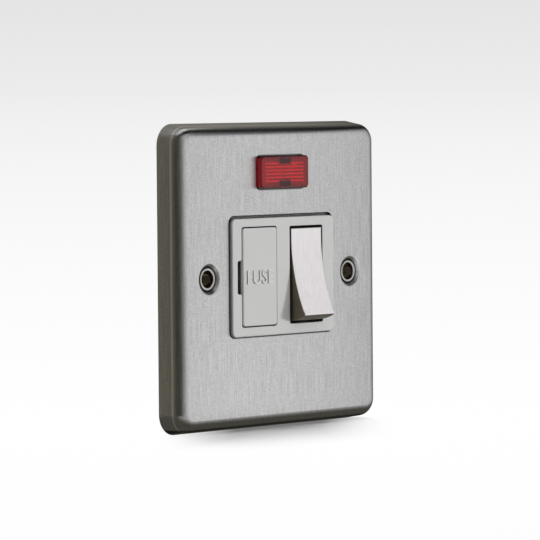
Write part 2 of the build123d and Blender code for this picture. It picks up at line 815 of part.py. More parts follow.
def earth_strap():
    # Flat pressing on the back of the flange, with tabs bent back to the earth terminals
    fixing = -fixing_centres / 2
    arm_end = row_x["earth"]
    outline = Pos(strap_x, 0) * Rectangle(strap_w, 2 * strap_arm_z + strap_w)
    outline += Pos(fixing, 0) * Circle(strap_ring_d / 2)
    outline += Pos((fixing + strap_x) / 2, 0) * Rectangle(strap_x - fixing, strap_w)
    for side in (-1, 1):
        outline += Pos((strap_x + arm_end) / 2, side * strap_arm_z) * Rectangle(arm_end - strap_x, strap_w)
    outline -= Pos(fixing, 0) * Circle(eyelet_d / 2 + eyelet_clear)
    body = slab(outline, flange_back_y, flange_back_y + strip_t)
    for side in (-1, 1):
        z = side * strap_arm_z
        half = strap_w / 2
        body += block(arm_end - strap_tab, arm_end, flange_back_y, floor_y, z - half, z + half)
    return body


# Neon indicator

def neon_lens():
    body = front_rim(slab(lens_outline(0), face_y - lens_proud, lens_back_y), lens_edge)
    body += slab(lens_outline(lens_shoulder), plate_back_y, lens_back_y)
    front_inner = face_y - lens_proud + lens_wall
    body -= slab(lens_outline(-lens_wall), front_inner, lens_back_y)
    # Half-round flutes inside the front wall spread the light
    flute_end = lens_w / 2 - 2 * lens_wall
    first = lens_z - (lens_rib_count - 1) / 2 * lens_rib_pitch
    for i in range(lens_rib_count):
        body -= rod_x(lens_rib_d, -flute_end, flute_end, front_inner, first + i * lens_rib_pitch)
    # Legs at the middle of the long sides, with feet that centre the lamp holder
    inside = lens_h / 2 - lens_wall
    foot = lens_h / 2 + lens_shoulder - holder_wall - holder_clear
    half = catch_w / 2
    for side, height in ((1, catch_upper_h), (-1, catch_lower_h)):
        low, high = sorted((lens_z + side * (inside - height), lens_z + side * inside))
        body += block(-half, half, front_inner, lens_back_y + catch_root, low, high)
        low, high = sorted((lens_z + side * inside, lens_z + side * foot))
        body += block(-half, half, lens_back_y, lens_back_y + catch_root, low, high)
    return body


def lead_places():
    # Where the lamp's leads pass back through the shelf to the load live and neutral terminals
    z = lens_z - resistor_drop
    live = row_x["live"] + terminal_w / 2 - live_lead_inset
    neutral = lens_w / 2 + lens_shoulder - holder_wall - neutral_lead_inset
    return [(live, z), (neutral, z)]


def lamp_holder():
    body = slab(lens_outline(lens_shoulder), lens_back_y, holder_back_y)
    body -= slab(lens_outline(lens_shoulder - holder_wall), lens_back_y, holder_back_y - holder_wall)
    fork_low = lens_z - lamp_d / 2 - fork_wrap
    fork_high = lens_z + lamp_d / 2 + fork_wrap
    for x in (-fork_pitch / 2, fork_pitch / 2):
        body += block(x - fork_t / 2, x + fork_t / 2, lamp_y, holder_back_y, fork_low, fork_high)
    body -= rod_x(lamp_d + 2 * holder_clear, -lamp_len, lamp_len, lamp_y, lens_z)
    for x, z in lead_places():
        body -= rod_y(lead_d + 2 * slot_clear, lens_back_y, holder_back_y, x, z)
    return body


def neon_lamp():
    body = rod_x(lamp_d, -lamp_len / 2, lamp_len / 2, lamp_y, lens_z)
    return fillet(body.edges().filter_by(GeomType.CIRCLE), lamp_end_r)


def lamp_resistor():
    z = lens_z - resistor_drop
    body = rod_x(resistor_d, resistor_x - resistor_len / 2, resistor_x + resistor_len / 2, lamp_y, z)
    return fillet(body.edges().filter_by(GeomType.CIRCLE), resistor_end_r)


def wire(points):
    path = FilletPolyline(*points, radius=lead_bend)
    section = Plane(path @ 0, z_dir=path % 0) * Circle(lead_d / 2)
    return sweep(section, path=path)


def lamp_leads():
    z = lens_z - resistor_drop
    left = -lamp_len / 2
    right = lamp_len / 2
    (live_x, live_z), (neutral_x, neutral_z) = lead_places()
    resistor_left = resistor_x - resistor_len / 2
    resistor_right = resistor_x + resistor_len / 2
    turn_x = left - lead_out
    loop = wire([(left, lamp_y, lens_z), (turn_x, lamp_y, lens_z), (turn_x, lamp_y, z),
                 (resistor_left, lamp_y, z)])
    live = wire([(resistor_right, lamp_y, z), (live_x, lamp_y, z), (live_x, floor_y, z)])
    neutral = wire([(right, lamp_y, lens_z), (neutral_x, lamp_y, lens_z), (neutral_x, lamp_y, neutral_z),
                    (neutral_x, floor_y, neutral_z)])
    return Compound(children=[loop, live, neutral])


nodes = {
    "front_plate": front_plate(),
    "eyelet_left": eyelet(-fixing_centres / 2, flange_back_y + strip_t),
    "eyelet_right": eyelet(fixing_centres / 2, flange_back_y),
    "front_moulding": front_moulding(),
    "fuse_carrier": fuse_carrier(),
    "fuse_tube": fuse_tube(),
    "fuse_cap_upper": fuse_cap(1),
    "fuse_cap_lower": fuse_cap(-1),
    "fuse_clip_load": fuse_clip_load(),
    "fuse_clip_supply": fuse_clip_supply(),
    "rocker_cap": rocker_cap(),
    "rocker_cradle": rocker_cradle(),
    "rear_housing": rear_housing(),
    "housing_screws": housing_screws(),
    "terminal_screws": terminal_screws(),
    "earth_strap": earth_strap(),
    "neon_lens": neon_lens(),
    "neon_lamp": neon_lamp(),
    "lamp_holder": lamp_holder(),
    "lamp_resistor": lamp_resistor(),
    "lamp_leads": lamp_leads(),
}
for pole in pole_x:
    nodes["plunger_" + pole] = plunger(pole)
    nodes["spring_" + pole] = spring(pole)
    nodes["moving_contact_" + pole] = moving_contact(pole)
    nodes["moving_tip_" + pole] = moving_tip(pole)
    nodes["contact_bracket_" + pole] = contact_bracket(pole)
    nodes["fixed_contact_" + pole] = fixed_contact(pole)
    nodes["fixed_tip_" + pole] = fixed_tip(pole)
for row, pole, x, side in terminal_places():
    nodes["terminal_" + row + "_" + pole] = terminal(row, pole)

os.makedirs("parts", exist_ok=True)
for name, body in nodes.items():
    export_step(body, "parts/" + name + ".step")
    print(name, round(body.volume, 1))
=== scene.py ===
import bpy
import math
from mathutils import Matrix, Vector


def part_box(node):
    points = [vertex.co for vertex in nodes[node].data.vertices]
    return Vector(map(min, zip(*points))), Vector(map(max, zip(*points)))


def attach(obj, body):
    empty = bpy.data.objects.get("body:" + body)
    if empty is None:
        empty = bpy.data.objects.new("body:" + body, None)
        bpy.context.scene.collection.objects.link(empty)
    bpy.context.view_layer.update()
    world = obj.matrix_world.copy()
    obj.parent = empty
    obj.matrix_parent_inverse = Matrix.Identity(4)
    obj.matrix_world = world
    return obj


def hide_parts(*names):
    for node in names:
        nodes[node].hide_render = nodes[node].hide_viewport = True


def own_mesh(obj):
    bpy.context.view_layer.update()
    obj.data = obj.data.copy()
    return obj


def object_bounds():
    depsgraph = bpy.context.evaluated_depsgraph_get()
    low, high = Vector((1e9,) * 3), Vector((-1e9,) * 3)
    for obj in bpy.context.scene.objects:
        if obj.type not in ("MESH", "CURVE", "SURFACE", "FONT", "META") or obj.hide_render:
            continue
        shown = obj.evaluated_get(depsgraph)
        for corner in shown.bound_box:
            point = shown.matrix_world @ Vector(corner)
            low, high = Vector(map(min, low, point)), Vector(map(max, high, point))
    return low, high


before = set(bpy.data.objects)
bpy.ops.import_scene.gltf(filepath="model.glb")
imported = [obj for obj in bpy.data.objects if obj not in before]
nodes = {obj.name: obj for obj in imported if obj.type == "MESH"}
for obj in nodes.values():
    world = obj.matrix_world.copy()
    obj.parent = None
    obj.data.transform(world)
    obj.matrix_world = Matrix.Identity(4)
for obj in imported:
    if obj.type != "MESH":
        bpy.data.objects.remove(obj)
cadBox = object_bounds()
scene = bpy.context.scene
mm = 0.001
print("frame loaded:", len(nodes), "pieces")

# A Mix node has several sockets of one name, so they go by number: two in and one out, for colours and
# for plain numbers
colourA, colourB, colourOut = 6, 7, 2
numberA, numberB, numberOut = 2, 3, 0


def linear(hexColour):
    # sRGB hex, as a paint chart gives it, to the linear colour that the shader wants
    values = []
    for i in (0, 2, 4):
        c = int(hexColour[i:i + 2], 16) / 255
        values.append(c / 12.92 if c <= 0.04045 else ((c + 0.055) / 1.055) ** 2.4)
    return (*values, 1.0)


def addNode(tree, kind, settings=None, inputs=None):
    node = tree.nodes.new(kind)
    for name, value in (settings or {}).items():
        setattr(node, name, value)
    for name, value in (inputs or {}).items():
        if isinstance(value, bpy.types.NodeSocket):
            tree.links.new(value, node.inputs[name])
        else:
            node.inputs[name].default_value = value
    return node


def startMaterial(name, shine):
    # A new material with its Principled shader set, and the object coordinates to pattern it by
    material = bpy.data.materials.new(name)
    material.use_nodes = True
    tree = material.node_tree
    shader = tree.nodes["Principled BSDF"]
    for socket, value in shine.items():
        shader.inputs[socket].default_value = value
    place = addNode(tree, "ShaderNodeTexCoord").outputs["Object"]
    return material, tree, shader, place


def wear(material, *starts):
    # Every piece of the frame whose name starts so gets this finish
    for name, piece in nodes.items():
        if name.startswith(starts):
            piece.data.materials.clear()
            piece.data.materials.append(material)


gapSamples = 8  # how many ways each point feels for close surfaces


def paintGapShade(tree, clean, p):
    # Painted shade: deep between close surfaces, where shadow falls, the tone is painted dark
    opened = addNode(tree, "ShaderNodeAmbientOcclusion", {"samples": gapSamples}, {
        "Distance": p["reach"] * mm})
    share = addNode(tree, "ShaderNodeMapRange", inputs={
        "Value": opened.outputs["AO"], "From Min": p["open"][0], "From Max": p["open"][1]})
    return addNode(tree, "ShaderNodeMix", {"data_type": "RGBA"}, {
        "Factor": share.outputs["Result"], colourA: linear(p["paintedShade"]), colourB: clean}).outputs[colourOut]


# Front plate: stainless steel brushed upright by a belt. Fine scratches spread its reflections sideways,
# and the eye gets long thin lines and small specks of lighter and darker sheen. Both are drawn coarser
# than the real grit, to show. Sizes are in millimetres, here and in every finish and piece below.
brushedPlate = {
    "light": "DADADA", "dark": "BBBBBB", "grainDetail": 1.0,
    "lineWidth": 0.32, "lineLength": 9.0,
    "speckWidth": 0.26, "speckLength": 0.3, "speckShare": 1.2,
    "toneSpan": (0.84, 1.36),  # of lines and specks together, from dark to light
    "roughness": 0.3, "glossSwing": 0.04, "sideways": 0.9,
    "scratchDepth": 0.003, "scratchShow": 0.2,
    # Painted highlight: a white band across this depth of the side wall
    "highlightLine": (-4.7, -4.1), "highlightTone": "FFFFFF",
    "faceSkin": 0.15,  # what lies deeper than this is no longer the open face
    # Painted shade, in the dished seats and as a thin line round what stands on the face
    "gaps": {"paintedShade": "1E1C1A", "reach": 1.8, "open": (0.62, 1.0)},
    "edges": {"paintedShade": "121110", "reach": 0.8, "open": (0.66, 0.88)},
}


def brushedStainless():
    p = brushedPlate
    material, tree, shader, place = startMaterial("brushedStainless", {
        "Metallic": 1.0, "Anisotropic": p["sideways"]})
    layers = []
    for kind in ("line", "speck"):
        across = 1 / (p[kind + "Width"] * mm)
        along = 1 / (p[kind + "Length"] * mm)
        stretch = addNode(tree, "ShaderNodeMapping", inputs={
            "Vector": place, "Scale": (across, across, along)})
        layers.append(addNode(tree, "ShaderNodeTexNoise", inputs={
            "Vector": stretch.outputs["Vector"], "Scale": 1.0, "Detail": p["grainDetail"]}).outputs["Fac"])
    lines, specks = layers
    both = addNode(tree, "ShaderNodeMath", {"operation": "MULTIPLY_ADD"}, {
        0: specks, 1: p["speckShare"], 2: lines})
    spread = addNode(tree, "ShaderNodeMapRange", inputs={
        "Value": both.outputs["Value"], "From Min": p["toneSpan"][0], "From Max": p["toneSpan"][1]})
    tone = addNode(tree, "ShaderNodeMix", {"data_type": "RGBA"}, {
        "Factor": spread.outputs["Result"], colourA: linear(p["dark"]), colourB: linear(p["light"])})
    # Painted highlight: a white line round the side, where the wall turns into the edge, for the light that
    # the crease there catches
    start, end = (y * mm for y in p["highlightLine"])
    depth = addNode(tree, "ShaderNodeSeparateXYZ", inputs={"Vector": place}).outputs["Y"]
    highlighted = addNode(tree, "ShaderNodeMath", {"operation": "COMPARE"}, {
        0: depth, 1: (start + end) / 2, 2: (end - start) / 2})
    tone = addNode(tree, "ShaderNodeMix", {"data_type": "RGBA"}, {
        "Factor": highlighted.outputs["Value"], colourA: tone.outputs[colourOut], colourB: linear(p["highlightTone"])})
    # Painted shade: the open face gets only a thin dark line along what stands on it, and the dished seats
    # are painted darker
    sunk = addNode(tree, "ShaderNodeMath", {"operation": "GREATER_THAN"}, {
        0: depth, 1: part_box("front_plate")[0].y + p["faceSkin"] * mm})
    tone = addNode(tree, "ShaderNodeMix", {"data_type": "RGBA"}, {
        "Factor": sunk.outputs["Value"],
        colourA: paintGapShade(tree, tone.outputs[colourOut], p["edges"]),
        colourB: paintGapShade(tree, tone.outputs[colourOut], p["gaps"])})
    gloss = addNode(tree, "ShaderNodeMapRange", inputs={
        "Value": lines, "To Min": p["roughness"] - p["glossSwing"],
        "To Max": p["roughness"] + p["glossSwing"]})
    bump = addNode(tree, "ShaderNodeBump", inputs={
        "Height": lines, "Strength": p["scratchShow"], "Distance": p["scratchDepth"] * mm})
    # Reflections spread level, at right angles to the upright scratches
    level = addNode(tree, "ShaderNodeVectorMath", {"operation": "CROSS_PRODUCT"}, {
        0: addNode(tree, "ShaderNodeNewGeometry").outputs["Normal"], 1: (0, 0, 1)})
    tree.links.new(tone.outputs[colourOut], shader.inputs["Base Color"])
    tree.links.new(gloss.outputs["Result"], shader.inputs["Roughness"])
    tree.links.new(bump.outputs["Normal"], shader.inputs["Normal"])
    tree.links.new(level.outputs["Vector"], shader.inputs["Tangent"])
    return material


# Rocker cap: pressed satin steel. Its front is brushed pale along its length, and the drawn sides and ends,
# which the brush never reaches, are duller and painted dark by which way they face: painted shade. The
# grain is drawn coarser than the real one, to show.
satinCap = {
    "light": "FBF7F8", "dark": "E1DCDD", "side": "736D5F",
    "grainWidth": 0.6, "grainLength": 8.0, "grainDetail": 2.0,
    "roughness": 0.3, "sideRoughness": 0.5,
    "turn": (0.55, 0.8),  # how far a surface looks ahead where the side tone ends and the front tone starts
}


def satinSteel():
    p = satinCap
    material, tree, shader, place = startMaterial("satinSteel", {"Metallic": 1.0})
    across = 1 / (p["grainWidth"] * mm)
    along = 1 / (p["grainLength"] * mm)
    stretch = addNode(tree, "ShaderNodeMapping", inputs={"Vector": place, "Scale": (across, across, along)})
    grain = addNode(tree, "ShaderNodeTexNoise", inputs={
        "Vector": stretch.outputs["Vector"], "Scale": 1.0, "Detail": p["grainDetail"]})
    front = addNode(tree, "ShaderNodeMix", {"data_type": "RGBA"}, {
        "Factor": grain.outputs["Fac"], colourA: linear(p["dark"]), colourB: linear(p["light"])})
    # How far the surface looks to the front, by its own normal; what faces aside is painted dark, painted
    # shade
    facing = addNode(tree, "ShaderNodeSeparateXYZ", inputs={
        "Vector": addNode(tree, "ShaderNodeTexCoord").outputs["Normal"]})
    ahead = addNode(tree, "ShaderNodeMapRange", inputs={
        "Value": facing.outputs["Y"], "From Min": -p["turn"][0],
        "From Max": -p["turn"][1]}).outputs["Result"]
    tone = addNode(tree, "ShaderNodeMix", {"data_type": "RGBA"}, {
        "Factor": ahead, colourA: linear(p["side"]), colourB: front.outputs[colourOut]})
    gloss = addNode(tree, "ShaderNodeMapRange", inputs={
        "Value": ahead, "To Min": p["sideRoughness"], "To Max": p["roughness"]})
    tree.links.new(tone.outputs[colourOut], shader.inputs["Base Color"])
    tree.links.new(gloss.outputs["Result"], shader.inputs["Roughness"])
    return material


# Small metal pieces. The tone drifts between two colours over blotches, and tool marks swing the gloss
# with it, by a share of the roughness.
toolMarks = {"detail": 4.0, "glossSwing": 0.25}
metals = {
    # Nickel plate: bright as a mirror and a little warm, painted dark where it sits deep: painted shade
    "brightNickel": {
        "colour": "D0CECB", "tint": "B6B3AF", "roughness": 0.09, "blotch": 2.5,
        "gaps": {"paintedShade": "5E5548", "reach": 8.0, "open": (0.5, 0.95)},
        "pieces": ("eyelet_", "fuse_cap_")},
    # Turned and pressed brass: yellow with a soft sheen
    "turnedBrass": {
        "colour": "D8B868", "tint": "CCA958", "roughness": 0.28, "blotch": 3.0,
        "pieces": ("terminal_load_", "terminal_supply_", "earth_strap", "fuse_clip_", "contact_bracket_",
                   "fixed_contact_", "moving_contact_")},
    # Silver alloy rivet heads: the palest of the metals, and soft
    "silverAlloy": {
        "colour": "EFEDE8", "tint": "DEDBD4", "roughness": 0.3, "blotch": 0.8,
        "pieces": ("fixed_tip_", "moving_tip_")},
    # Zinc plated steel: cool grey and half dull
    "zincPlatedSteel": {
        "colour": "C9CBCC", "tint": "B4B8B6", "roughness": 0.3, "blotch": 1.0,
        "pieces": ("terminal_screws", "housing_screws", "spring_")},
    # Tinned copper wire: pale cool grey
    "tinnedCopper": {
        "colour": "D2D3D4", "tint": "C2C4C6", "roughness": 0.3, "blotch": 0.6,
        "pieces": ("lamp_leads",)},
}


def plainMetal(name, p):
    material, tree, shader, place = startMaterial(name, {"Metallic": 1.0})
    cloud = addNode(tree, "ShaderNodeTexNoise", inputs={
        "Vector": place, "Scale": 1 / (p["blotch"] * mm), "Detail": toolMarks["detail"]})
    tone = addNode(tree, "ShaderNodeMix", {"data_type": "RGBA"}, {
        "Factor": cloud.outputs["Fac"], colourA: linear(p["tint"]),
        colourB: linear(p["colour"])}).outputs[colourOut]
    if "gaps" in p:
        tone = paintGapShade(tree, tone, p["gaps"])
    swing = p["roughness"] * toolMarks["glossSwing"]
    gloss = addNode(tree, "ShaderNodeMapRange", inputs={
        "Value": cloud.outputs["Fac"], "To Min": p["roughness"] - swing, "To Max": p["roughness"] + swing})
    tree.links.new(tone, shader.inputs["Base Color"])
    tree.links.new(gloss.outputs["Result"], shader.inputs["Roughness"])
    return material


# Moulded and fired pieces. Each has an even colour that drifts a little over some widths of the grit,
# and the fine texture of its tool or glaze in its gloss and relief.
toolTexture = {"ior": 1.5, "specular": 0.3, "detail": 3.0, "coarseness": 0.65, "driftWidths": 30,
               "glossSwing": 0.06, "show": 0.3}
greyMoulding = {"colour": "C4C4C3", "shade": "BFBFBE", "roughness": 0.42, "grit": 0.25, "depth": 0.006}
mouldings = {
    # Grey urea: a satin neutral grey, painted near black in its narrow gaps: painted shade
    "greyUrea": {
        **greyMoulding, "gaps": {"paintedShade": "15120F", "reach": 5.0, "open": (0.38, 0.6)},
        "pieces": ("front_moulding",)},
    # The same on the carrier, with painted shade in its gaps and a painted highlight: the front of its left
    # side painted pale
    "carrierUrea": {
        **greyMoulding, "gaps": {"paintedShade": "15120F", "reach": 5.0, "open": (0.33, 0.41)},
        "lip": {"litTone": "FFFAF8", "width": 1.0, "leftward": 0.7},
        "pieces": ("fuse_carrier",)},
    # Black nylon: near black, half dull
    "blackNylon": {
        "colour": "1C1C1D", "shade": "161617", "roughness": 0.45, "grit": 0.3, "depth": 0.006,
        "pieces": ("rocker_cradle", "plunger_")},
    # White urea: warm white with a slight gloss
    "whiteUrea": {
        "colour": "E9E7E1", "shade": "E3E0D9", "roughness": 0.38, "grit": 0.3, "depth": 0.005,
        "pieces": ("rear_housing",)},
    # Undyed nylon: pale warm grey, half dull
    "paleNylon": {
        "colour": "C8C6C2", "shade": "C0BEBA", "roughness": 0.45, "grit": 0.3, "depth": 0.005,
        "pieces": ("lamp_holder",)},
    # Glazed ceramic: warm white, glossy and all but smooth
    "glazedCeramic": {
        "colour": "F2EFE8", "shade": "ECE8E0", "roughness": 0.2, "grit": 0.8, "depth": 0.002,
        "pieces": ("fuse_tube",)},
}


def mouldedFinish(name, p):
    t = toolTexture
    material, tree, shader, place = startMaterial(name, {
        "IOR": t["ior"], "Specular IOR Level": t["specular"]})
    texture = addNode(tree, "ShaderNodeTexNoise", inputs={
        "Vector": place, "Scale": 1 / (p["grit"] * mm), "Detail": t["detail"],
        "Roughness": t["coarseness"]})
    drift = addNode(tree, "ShaderNodeTexNoise", inputs={
        "Vector": place, "Scale": 1 / (t["driftWidths"] * p["grit"] * mm)})
    tone = addNode(tree, "ShaderNodeMix", {"data_type": "RGBA"}, {
        "Factor": drift.outputs["Fac"], colourA: linear(p["shade"]),
        colourB: linear(p["colour"])}).outputs[colourOut]
    if "gaps" in p:
        tone = paintGapShade(tree, tone, p["gaps"])
    if "lip" in p:
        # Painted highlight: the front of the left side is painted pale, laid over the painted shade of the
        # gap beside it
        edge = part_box("fuse_carrier")[0].y + p["lip"]["width"] * mm
        axes = addNode(tree, "ShaderNodeSeparateXYZ", inputs={"Vector": place})
        front = addNode(tree, "ShaderNodeMath", {"operation": "LESS_THAN"}, {0: axes.outputs["Y"], 1: edge})
        facing = addNode(tree, "ShaderNodeSeparateXYZ", inputs={
            "Vector": addNode(tree, "ShaderNodeTexCoord").outputs["Normal"]})
        left = addNode(tree, "ShaderNodeMath", {"operation": "LESS_THAN"}, {
            0: facing.outputs["X"], 1: -p["lip"]["leftward"]})
        both = addNode(tree, "ShaderNodeMath", {"operation": "MULTIPLY"}, {
            0: front.outputs["Value"], 1: left.outputs["Value"]})
        tone = addNode(tree, "ShaderNodeMix", {"data_type": "RGBA"}, {
            "Factor": both.outputs["Value"], colourA: tone,
            colourB: linear(p["lip"]["litTone"])}).outputs[colourOut]
    gloss = addNode(tree, "ShaderNodeMapRange", inputs={
        "Value": texture.outputs["Fac"], "To Min": p["roughness"] - t["glossSwing"],
        "To Max": p["roughness"] + t["glossSwing"]})
    bump = addNode(tree, "ShaderNodeBump", inputs={
        "Height": texture.outputs["Fac"], "Strength": t["show"], "Distance": p["depth"] * mm})
    tree.links.new(tone, shader.inputs["Base Color"])
    tree.links.new(gloss.outputs["Result"], shader.inputs["Roughness"])
    tree.links.new(bump.outputs["Normal"], shader.inputs["Normal"])
    return material


# Neon lens: clear red polycarbonate, polished outside. Its flutes are frosted by the tool, so each one
# catches the light as a bright line, and where light goes through more of it the red goes dark.
redLens = {
    "colour": "F4404C", "clear": 0.87, "ior": 1.42, "roughness": 0.04,
    "depthColour": "C01820", "depthPerMm": 0.3,
    "wall": 1.0, "shoulder": 1.2,  # the shoulder round its foot is hidden behind the plate
    "flute": "FF6E81", "frosted": 0.6, "frostDepth": (0.16, 0.24), "fluteMargin": 0.8,
    # Painted marks: a darker tone over the legs and along the rims, painted shade, and a glowing red on the
    # end walls, painted light
    "legShade": "842A31", "legWidth": 4.9, "legReach": (2.3, 4.05),
    "endGlow": "D80020", "end": 0.1,
    "rimShade": "30060A", "rim": 0.3,
    "edgeClear": 0.3,
}


def redPolycarbonate():
    p = redLens
    material, tree, shader, place = startMaterial("redPolycarbonate", {"IOR": p["ior"]})
    low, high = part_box("neon_lens")
    axes = addNode(tree, "ShaderNodeSeparateXYZ", inputs={"Vector": place})
    away = {}  # how far each point lies from the middle, sideways and upright
    shown = {}  # half of what stands out of the plate: margins are measured in from there
    for axis, start, stop in (("X", low.x, high.x), ("Z", low.z, high.z)):
        off = addNode(tree, "ShaderNodeMath", {"operation": "SUBTRACT"}, {
            0: axes.outputs[axis], 1: (start + stop) / 2})
        away[axis] = addNode(tree, "ShaderNodeMath", {"operation": "ABSOLUTE"}, {
            0: off.outputs["Value"]}).outputs["Value"]
        shown[axis] = (stop - start) / 2 - p["shoulder"] * mm
    # The flutes lie in front of the flat back of the front wall, and end well inside the side walls
    shallow, deep = (low.y + (p["wall"] - d) * mm for d in p["frostDepth"])
    frost = addNode(tree, "ShaderNodeMapRange", inputs={
        "Value": axes.outputs["Y"], "From Min": shallow, "From Max": deep}).outputs["Result"]
    inside = addNode(tree, "ShaderNodeMath", {"operation": "GREATER_THAN"}, {
        0: axes.outputs["Y"], 1: low.y + p["wall"] / 2 * mm})
    limits = [inside]
    for axis in ("X", "Z"):
        limits.append(addNode(tree, "ShaderNodeMath", {"operation": "LESS_THAN"}, {
            0: away[axis], 1: shown[axis] - p["fluteMargin"] * mm}))
    for limit in limits:
        frost = addNode(tree, "ShaderNodeMath", {"operation": "MULTIPLY"}, {
            0: frost, 1: limit.outputs["Value"]}).outputs["Value"]
    # Where the two clip legs join the front wall the plastic is deep, and it is painted darker there:
    # painted shade
    near, far = p["legReach"]
    sideways = addNode(tree, "ShaderNodeMath", {"operation": "COMPARE"}, {
        0: away["X"], 1: 0.0, 2: p["legWidth"] / 2 * mm})
    upright = addNode(tree, "ShaderNodeMath", {"operation": "COMPARE"}, {
        0: away["Z"], 1: (near + far) / 2 * mm, 2: (far - near) / 2 * mm})
    leg = addNode(tree, "ShaderNodeMath", {"operation": "MULTIPLY"}, {
        0: sideways.outputs["Value"], 1: upright.outputs["Value"]})
    # Painted light: the end walls are painted a glowing deep red for what comes through, and the upper and
    # lower rims are painted dark, painted shade, for the whole depth of the wall that one looks through
    # there
    end = addNode(tree, "ShaderNodeMath", {"operation": "GREATER_THAN"}, {
        0: away["X"], 1: shown["X"] - p["end"] * mm})
    rim = addNode(tree, "ShaderNodeMath", {"operation": "GREATER_THAN"}, {
        0: away["Z"], 1: shown["Z"] - p["rim"] * mm})
    tone = linear(p["colour"])
    places = ((frost, "flute"), (leg.outputs["Value"], "legShade"), (end.outputs["Value"], "endGlow"),
              (rim.outputs["Value"], "rimShade"))
    for where, colour in places:
        tone = addNode(tree, "ShaderNodeMix", {"data_type": "RGBA"}, {
            "Factor": where, colourA: tone, colourB: linear(p[colour])}).outputs[colourOut]
    clear = addNode(tree, "ShaderNodeMapRange", inputs={
        "Value": frost, "To Min": p["clear"], "To Max": 0.0})
    edge = addNode(tree, "ShaderNodeMath", {"operation": "MAXIMUM"}, {
        0: end.outputs["Value"], 1: rim.outputs["Value"]})
    clear = addNode(tree, "ShaderNodeMix", {"data_type": "FLOAT"}, {
        "Factor": edge.outputs["Value"], numberA: clear.outputs["Result"], numberB: p["edgeClear"]})
    gloss = addNode(tree, "ShaderNodeMapRange", inputs={
        "Value": frost, "To Min": p["roughness"], "To Max": p["frosted"]})
    depth = addNode(tree, "ShaderNodeVolumeAbsorption", inputs={
        "Color": linear(p["depthColour"]), "Density": p["depthPerMm"] / mm})
    tree.links.new(tone, shader.inputs["Base Color"])
    tree.links.new(clear.outputs[numberOut], shader.inputs["Transmission Weight"])
    tree.links.new(gloss.outputs["Result"], shader.inputs["Roughness"])
    tree.links.new(depth.outputs["Volume"], tree.nodes["Material Output"].inputs["Volume"])
    return material


# Lamp: clear drawn glass, polished, with a faint unevenness in its gloss
lampGlass = {"colour": "F4F1EC", "ior": 1.5, "seed": 1.5, "roughness": (0.02, 0.06)}


def clearGlass():
    p = lampGlass
    material, tree, shader, place = startMaterial("clearGlass", {
        "IOR": p["ior"], "Transmission Weight": 1.0, "Base Color": linear(p["colour"])})
    seed = addNode(tree, "ShaderNodeTexNoise", inputs={"Vector": place, "Scale": 1 / (p["seed"] * mm)})
    gloss = addNode(tree, "ShaderNodeMapRange", inputs={
        "Value": seed.outputs["Fac"], "To Min": p["roughness"][0], "To Max": p["roughness"][1]})
    tree.links.new(gloss.outputs["Result"], shader.inputs["Roughness"])
    return material


# Resistor: dipped in tan lacquer, half glossy, with brown painted rings along X
resistorPaint = {"body": "C8A878", "ring": "5A3A22", "ringPitch": 1.3, "ringShare": 0.35, "roughness": 0.35}


def tanLacquer():
    p = resistorPaint
    material, tree, shader, place = startMaterial("tanLacquer", {"Roughness": p["roughness"]})
    axes = addNode(tree, "ShaderNodeSeparateXYZ", inputs={"Vector": place})
    turn = addNode(tree, "ShaderNodeMath", {"operation": "DIVIDE"}, {
        0: axes.outputs["X"], 1: p["ringPitch"] * mm})
    share = addNode(tree, "ShaderNodeMath", {"operation": "FRACT"}, {0: turn.outputs["Value"]})
    ring = addNode(tree, "ShaderNodeMath", {"operation": "LESS_THAN"}, {
        0: share.outputs["Value"], 1: p["ringShare"]})
    tone = addNode(tree, "ShaderNodeMix", {"data_type": "RGBA"}, {
        "Factor": ring.outputs["Value"], colourA: linear(p["body"]), colourB: linear(p["ring"])})
    tree.links.new(tone.outputs[colourOut], shader.inputs["Base Color"])
    return material


wear(brushedStainless(), "front_plate")
wear(satinSteel(), "rocker_cap")
wear(redPolycarbonate(), "neon_lens")
wear(clearGlass(), "neon_lamp")
wear(tanLacquer(), "lamp_resistor")
for finish, p in metals.items():
    wear(plainMetal(finish, p), *p["pieces"])
for finish, p in mouldings.items():
    wear(mouldedFinish(finish, p), *p["pieces"])
print("finishes set")


# Raised word on the fuse carrier, moulded with it, its letters painted paler than the carrier as a painted
# highlight, and a little smoother
word = {
    "text": "FUSE", "width": 10.9, "height": 3.9, "raise": 0.32, "sink": 0.1,
    "aside": -0.12, "middleZ": 0.0,
    "finish": {"colour": "CDCDCC", "shade": "C8C8C7", "roughness": 0.38, "grit": 0.25, "depth": 0.004},
}


def fuseWord():
    p = word
    low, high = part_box("fuse_carrier")
    bpy.ops.object.select_all(action="DESELECT")
    bpy.ops.object.text_add(rotation=(math.pi / 2, 0, 0))
    piece = bpy.context.object
    piece.name = "fuseWord"
    piece.data.body = p["text"]
    piece.data.align_x = "CENTER"
    piece.data.align_y = "CENTER"
    piece.data.extrude = (p["raise"] + p["sink"]) / 2
    bpy.ops.object.convert(target="MESH")
    bpy.ops.object.transform_apply(location=True, rotation=True, scale=True)
    corners = [v.co for v in piece.data.vertices]
    lowest = Vector(map(min, *corners))
    highest = Vector(map(max, *corners))
    middle = (lowest + highest) / 2
    # The letters are squeezed to the word's size, and stand out of the carrier's face with their feet sunk
    # in it
    carrierX = (low.x + high.x) / 2 + p["aside"] * mm
    faceY = low.y + (p["sink"] - p["raise"]) / 2 * mm
    squeeze = Matrix.Diagonal((p["width"] * mm / (highest.x - lowest.x), mm,
                               p["height"] * mm / (highest.z - lowest.z), 1))
    put = Matrix.Translation((carrierX, faceY, p["middleZ"] * mm))
    piece.data.transform(put @ squeeze @ Matrix.Translation(-middle))
    piece.data.materials.append(mouldedFinish("highlitLetterUrea", p["finish"]))
    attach(piece, "carrier")


fuseWord()
print("lettering done")


